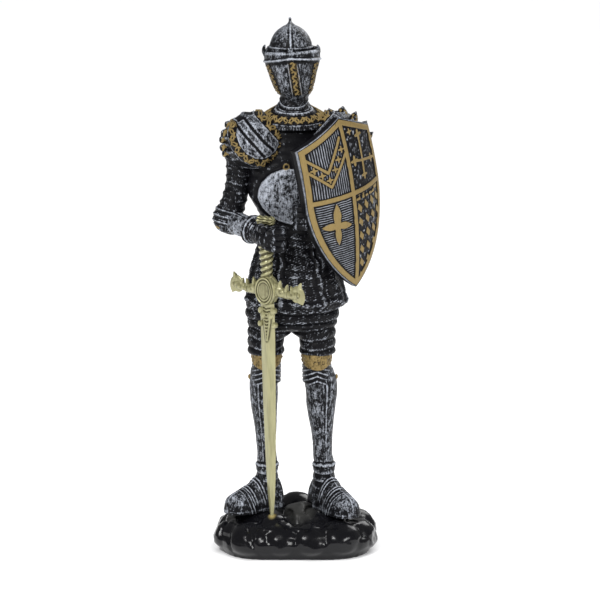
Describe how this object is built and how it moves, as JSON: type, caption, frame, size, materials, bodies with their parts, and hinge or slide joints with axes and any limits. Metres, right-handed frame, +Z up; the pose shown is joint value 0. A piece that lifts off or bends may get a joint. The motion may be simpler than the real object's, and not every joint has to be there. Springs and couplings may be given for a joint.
{
  "type": "painted miniature figure",
  "caption": "Standing knight in closed plate armour on a rock base, a heater shield on the left arm and a sword held point down in the right fist.",
  "frame": {"origin": "middle of the rock's flat underside", "axes": "+Z up; the knight faces -Y; +X is the side of the shield, the knight's own left"},
  "size_m": [0.0564, 0.0473, 0.18],
  "materials": {
    "plate_paint": "cast resin painted black and dry-brushed with silver",
    "mail_paint": "cast resin painted black, silver on the raised rings",
    "gilt_paint": "cast resin painted dull gold over black",
    "shield_paint": "cast resin, silver over black with dull gold lines",
    "strap_paint": "cast resin painted black",
    "rock": "cast resin, glossy black with one grey stone",
    "gilt_metal": "pale gold plating with dark recesses",
    "steel": "bright wire"
  },
  "bodies": {
    "figure": {"arm_dowels": "steel", "breeches": "mail_paint", "gorget": "plate_paint", "helmet_back_plate": "plate_paint", "helmet_skull": "plate_paint", "helmet_visor": "plate_paint", "left_couter": "plate_paint", "left_cuisse": "mail_paint", "left_gauntlet": "plate_paint", "left_greave": "plate_paint", "left_leg_rod": "steel", "left_pauldron": "plate_paint", "left_poleyn": "gilt_paint", "left_sabaton": "plate_paint", "left_upper_arm": "mail_paint", "left_vambrace": "plate_paint", "mail_skirt": "mail_paint", "right_couter": "plate_paint", "right_cuisse": "mail_paint", "right_gauntlet": "plate_paint", "right_greave": "plate_paint", "right_leg_rod": "steel", "right_pauldron": "plate_paint", "right_poleyn": "gilt_paint", "right_sabaton": "plate_paint", "right_upper_arm": "mail_paint", "right_vambrace": "plate_paint", "rock_base": "rock", "shield": "shield_paint", "shield_peg": "steel", "shield_straps": "strap_paint", "shoulder_dowels": "steel", "spine_rod": "steel", "torso": "plate_paint", "visor_pivots": "plate_paint"},
    "sword": {"sword_blade": "gilt_metal", "sword_grip": "gilt_metal", "sword_guard": "gilt_metal", "sword_pommel": "gilt_metal"}
  },
  "joints": [
    {"name": "sword_lift", "type": "slide", "parent": "figure", "child": "sword", "axis": [-0.0182, -0.0404, 0.999], "range_m": [0, 0.006]}
  ]
}
